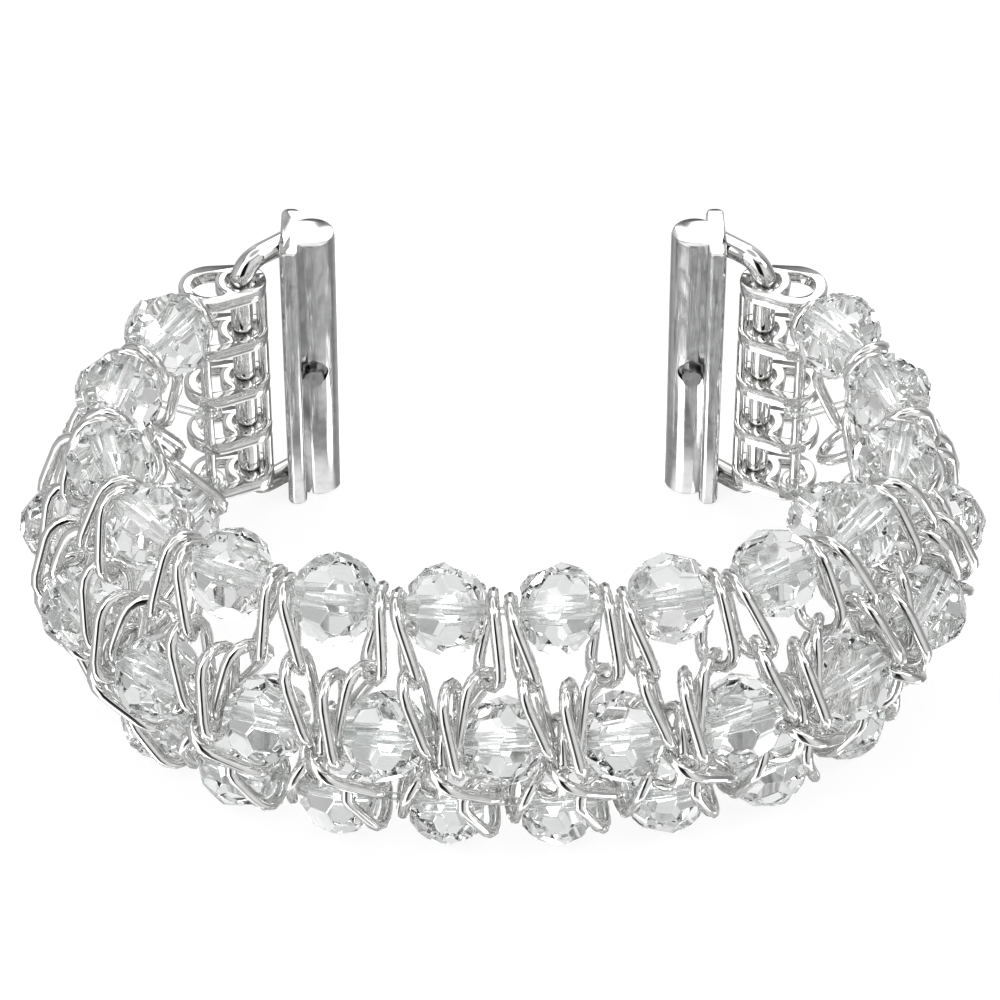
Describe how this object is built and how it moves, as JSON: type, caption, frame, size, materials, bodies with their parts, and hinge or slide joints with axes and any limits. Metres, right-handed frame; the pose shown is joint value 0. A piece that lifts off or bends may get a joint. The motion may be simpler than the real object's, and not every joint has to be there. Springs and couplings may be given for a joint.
{
  "type": "bead watch band",
  "caption": "Elastic watch band of three staggered rows of faceted crystal beads with fine chain links, ending in ring ladders that swing on rods of slide-in lug adapters.",
  "frame": {"origin": "under the middle of the loop's box, on the surface that the bottom row of beads stands on", "axes": "+Z along the loop's axis, across the band's width; -Y towards the middle of the loop's front; +X to the right adapter seen from the front"},
  "size_m": [0.09, 0.0614, 0.0314],
  "materials": {
    "crystal": "clear faceted glass crystal, machine polished",
    "silver_chain": "polished silver plate",
    "silver_ladder": "polished silver plate",
    "steel_rod": "polished silver plate",
    "steel_adapter": "stainless steel, bright",
    "latch_steel": "stainless steel, turned",
    "cord": "clear elastic cord"
  },
  "bodies": {
    "station_01": {"beads_outer_01": "crystal", "chain_01": "silver_chain"},
    "station_02": {"beads_outer_02": "crystal", "chain_02": "silver_chain", "bead_middle_01": "crystal"},
    "station_03": {"beads_outer_03": "crystal", "chain_03": "silver_chain", "bead_middle_02": "crystal"},
    "station_04": {"beads_outer_04": "crystal", "chain_04": "silver_chain", "bead_middle_03": "crystal"},
    "station_05": {"beads_outer_05": "crystal", "chain_05": "silver_chain", "bead_middle_04": "crystal"},
    "station_06": {"beads_outer_06": "crystal", "chain_06": "silver_chain", "bead_middle_05": "crystal"},
    "station_07": {"beads_outer_07": "crystal", "chain_07": "silver_chain", "bead_middle_07": "crystal", "bead_middle_06": "crystal", "cord_top": "cord", "cord_middle": "cord", "cord_bottom": "cord"},
    "station_08": {"beads_outer_08": "crystal", "chain_08": "silver_chain", "bead_middle_08": "crystal"},
    "station_09": {"beads_outer_09": "crystal", "chain_09": "silver_chain", "bead_middle_09": "crystal"},
    "station_10": {"beads_outer_10": "crystal", "chain_10": "silver_chain", "bead_middle_10": "crystal"},
    "station_11": {"beads_outer_11": "crystal", "chain_11": "silver_chain", "bead_middle_11": "crystal"},
    "station_12": {"beads_outer_12": "crystal", "chain_12": "silver_chain", "bead_middle_12": "crystal"},
    "station_13": {"beads_outer_13": "crystal", "chain_13": "silver_chain", "bead_middle_13": "crystal"},
    "station_14": {"beads_outer_14": "crystal", "chain_14": "silver_chain"},
    "ladder_left": {"ladder_left": "silver_ladder"},
    "adapter_left": {"adapter_left": "steel_adapter", "bail_left": "steel_rod", "latch_spring_left": "latch_steel"},
    "latch_left": {"latch_left": "latch_steel"},
    "ladder_right": {"ladder_right": "silver_ladder"},
    "adapter_right": {"adapter_right": "steel_adapter", "bail_right": "steel_rod", "latch_spring_right": "latch_steel"},
    "latch_right": {"latch_right": "latch_steel"}
  },
  "joints": [
    {"name": "flex_07_08", "type": "hinge", "parent": "station_07", "child": "station_08", "pos_m": [0, -0.02245, 0.0157], "axis": [0, 0, 1], "range_deg": [-12, 4], "deforming": ["cord_top", "cord_middle", "cord_bottom", "chain_07", "chain_08"]},
    {"name": "flex_08_09", "type": "hinge", "parent": "station_08", "child": "station_09", "pos_m": [0.00988, -0.02176, 0.0157], "axis": [0, 0, 1], "range_deg": [-12, 4], "deforming": ["cord_top", "cord_middle", "cord_bottom", "chain_08", "chain_09"]},
    {"name": "flex_09_10", "type": "hinge", "parent": "station_09", "child": "station_10", "pos_m": [0.01956, -0.0197, 0.0157], "axis": [0, 0, 1], "range_deg": [-12, 4], "deforming": ["cord_top", "cord_middle", "cord_bottom", "chain_09", "chain_10"]},
    {"name": "flex_10_11", "type": "hinge", "parent": "station_10", "child": "station_11", "pos_m": [0.0283, -0.01505, 0.0157], "axis": [0, 0, 1], "range_deg": [-12, 4], "deforming": ["cord_top", "cord_middle", "cord_bottom", "chain_10", "chain_11"]},
    {"name": "flex_11_12", "type": "hinge", "parent": "station_11", "child": "station_12", "pos_m": [0.03453, -0.00736, 0.0157], "axis": [0, 0, 1], "range_deg": [-12, 4], "deforming": ["cord_top", "cord_middle", "cord_bottom", "chain_11", "chain_12"]},
    {"name": "flex_12_13", "type": "hinge", "parent": "station_12", "child": "station_13", "pos_m": [0.03676, 0.00229, 0.0157], "axis": [0, 0, 1], "range_deg": [-12, 4], "deforming": ["cord_top", "cord_middle", "cord_bottom", "chain_12", "chain_13"]},
    {"name": "flex_13_14", "type": "hinge", "parent": "station_13", "child": "station_14", "pos_m": [0.03436, 0.01189, 0.0157], "axis": [0, 0, 1], "range_deg": [-12, 4], "deforming": ["cord_top", "cord_middle", "cord_bottom", "chain_13", "chain_14"]},
    {"name": "flex_07_06", "type": "hinge", "parent": "station_07", "child": "station_06", "pos_m": [-0.00988, -0.02176, 0.0157], "axis": [0, 0, -1], "range_deg": [-12, 4], "deforming": ["cord_top", "cord_middle", "cord_bottom", "chain_06", "chain_07"]},
    {"name": "flex_06_05", "type": "hinge", "parent": "station_06", "child": "station_05", "pos_m": [-0.01956, -0.0197, 0.0157], "axis": [0, 0, -1], "range_deg": [-12, 4], "deforming": ["cord_top", "cord_middle", "cord_bottom", "chain_05", "chain_06"]},
    {"name": "flex_05_04", "type": "hinge", "parent": "station_05", "child": "station_04", "pos_m": [-0.0283, -0.01505, 0.0157], "axis": [0, 0, -1], "range_deg": [-12, 4], "deforming": ["cord_top", "cord_middle", "cord_bottom", "chain_04", "chain_05"]},
    {"name": "flex_04_03", "type": "hinge", "parent": "station_04", "child": "station_03", "pos_m": [-0.03453, -0.00736, 0.0157], "axis": [0, 0, -1], "range_deg": [-12, 4], "deforming": ["cord_top", "cord_middle", "cord_bottom", "chain_03", "chain_04"]},
    {"name": "flex_03_02", "type": "hinge", "parent": "station_03", "child": "station_02", "pos_m": [-0.03676, 0.00229, 0.0157], "axis": [0, 0, -1], "range_deg": [-12, 4], "deforming": ["cord_top", "cord_middle", "cord_bottom", "chain_02", "chain_03"]},
    {"name": "flex_02_01", "type": "hinge", "parent": "station_02", "child": "station_01", "pos_m": [-0.03436, 0.01189, 0.0157], "axis": [0, 0, -1], "range_deg": [-12, 4], "deforming": ["cord_top", "cord_middle", "cord_bottom", "chain_01", "chain_02"]},
    {"name": "ladder_right_on_cords", "type": "hinge", "parent": "station_14", "child": "ladder_right", "pos_m": [0.02852, 0.02056, 0.0157], "axis": [0, 0, 1], "range_deg": [-15, 15], "deforming": ["cord_top", "cord_middle", "cord_bottom", "chain_14"]},
    {"name": "ladder_right_on_rod", "type": "hinge", "parent": "ladder_right", "child": "adapter_right", "pos_m": [0.025, 0.02365, 0.0157], "axis": [0, 0, 1], "range_deg": [-40, 40]},
    {"name": "latch_right_press", "type": "slide", "parent": "adapter_right", "child": "latch_right", "axis": [0, 1, 0], "range_m": [0, 0.0008], "stiffness_N_per_m": 200, "deforming": ["latch_spring_right"]},
    {"name": "ladder_left_on_cords", "type": "hinge", "parent": "station_01", "child": "ladder_left", "pos_m": [-0.02852, 0.02056, 0.0157], "axis": [0, 0, -1], "range_deg": [-15, 15], "deforming": ["cord_top", "cord_middle", "cord_bottom", "chain_01"]},
    {"name": "ladder_left_on_rod", "type": "hinge", "parent": "ladder_left", "child": "adapter_left", "pos_m": [-0.025, 0.02365, 0.0157], "axis": [0, 0, -1], "range_deg": [-40, 40]},
    {"name": "latch_left_press", "type": "slide", "parent": "adapter_left", "child": "latch_left", "axis": [0, 1, 0], "range_m": [0, 0.0008], "stiffness_N_per_m": 200, "deforming": ["latch_spring_left"]}
  ]
}
